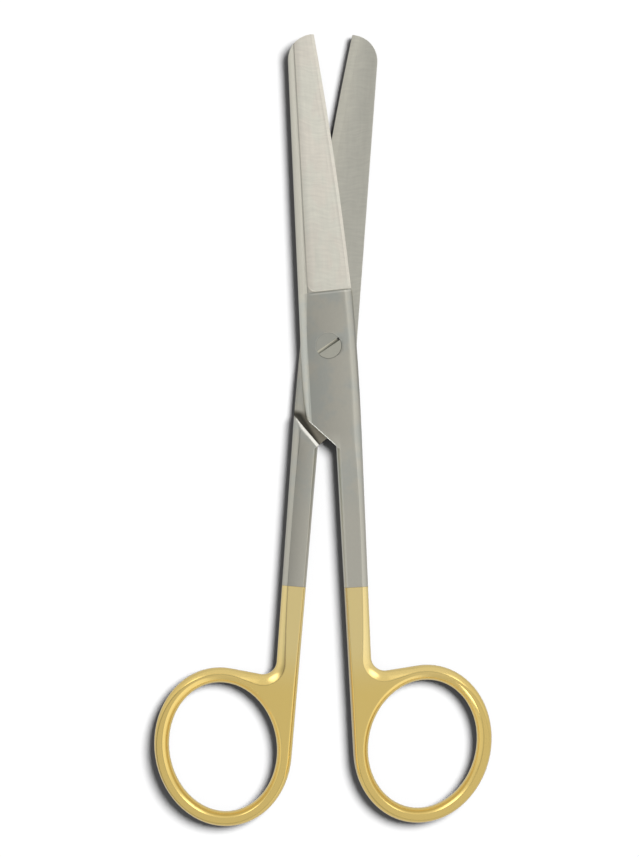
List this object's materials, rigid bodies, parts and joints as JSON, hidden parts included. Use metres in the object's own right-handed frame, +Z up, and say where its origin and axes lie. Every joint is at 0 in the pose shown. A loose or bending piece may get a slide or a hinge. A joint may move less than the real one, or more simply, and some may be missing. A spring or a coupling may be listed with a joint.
{
  "type": "surgical scissors",
  "caption": "Straight blunt-tipped operating scissors with gilt finger rings, carbide cutting edges and a slotted pivot screw.",
  "frame": {"origin": "on the pivot axis, in the plane that the scissors lie on", "axes": "+Y between the blades towards the tips, +Z up along the pivot axis through the slotted screw head, +X to the right of the blades seen from above"},
  "size_m": [0.061, 0.1435, 0.004],
  "materials": {
    "stainless_steel": "satin ground steel, with gilt plating from the lower shank to the rings",
    "carbide": "finely ground carbide",
    "screw_steel": "turned and satin ground"
  },
  "bodies": {
    "lower": {"lower_half": "stainless_steel", "lower_carbide_insert": "carbide", "pivot_screw": "screw_steel"},
    "upper": {"upper_half": "stainless_steel", "upper_carbide_insert": "carbide"}
  },
  "joints": [
    {"name": "pivot", "type": "hinge", "parent": "lower", "child": "upper", "pos_m": [0, 0, 0.002], "axis": [0, 0, 1], "range_deg": [-8, 128]}
  ]
}
